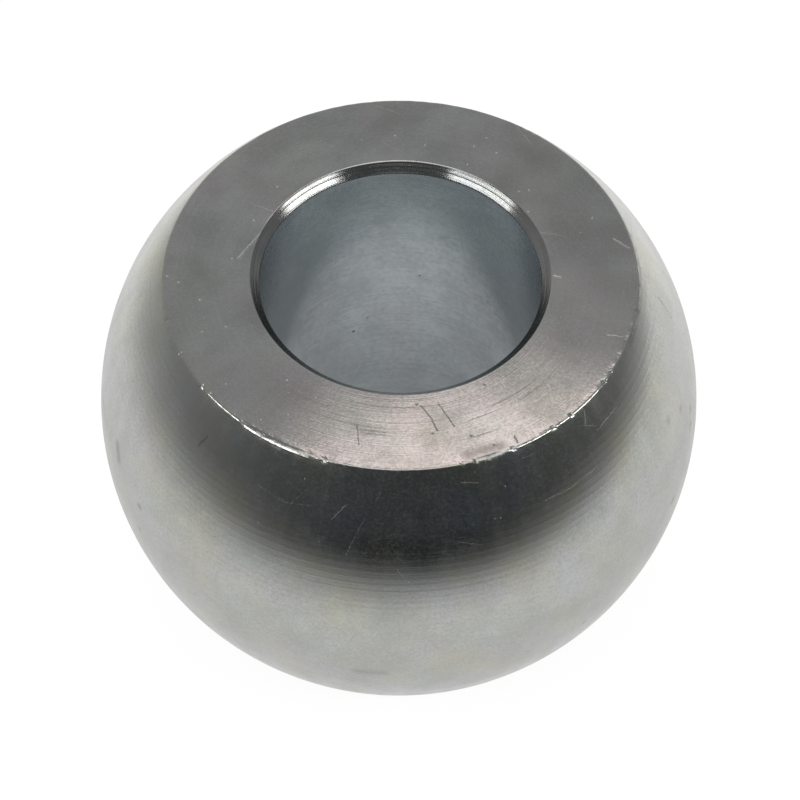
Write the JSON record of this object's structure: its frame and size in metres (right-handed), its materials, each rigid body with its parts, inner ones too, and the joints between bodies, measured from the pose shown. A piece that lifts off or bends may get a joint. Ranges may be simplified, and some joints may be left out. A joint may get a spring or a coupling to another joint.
{
  "type": "linkage ball",
  "caption": "Turned steel ball cut by two parallel flat faces, with a chamfered through bore; it slides on a hitch pin and swivels in the spherical eye of a link arm.",
  "frame": {"origin": "centre of the ball, half way along the bore", "axes": "+Z along the bore, square to both flat faces"},
  "size_m": [0.045, 0.045, 0.03],
  "materials": {
    "turned_steel": "bright turned steel with fine concentric tool marks and light handling scratches"
  },
  "bodies": {
    "root": {"linkage_ball": "turned_steel"}
  },
  "joints": []
}
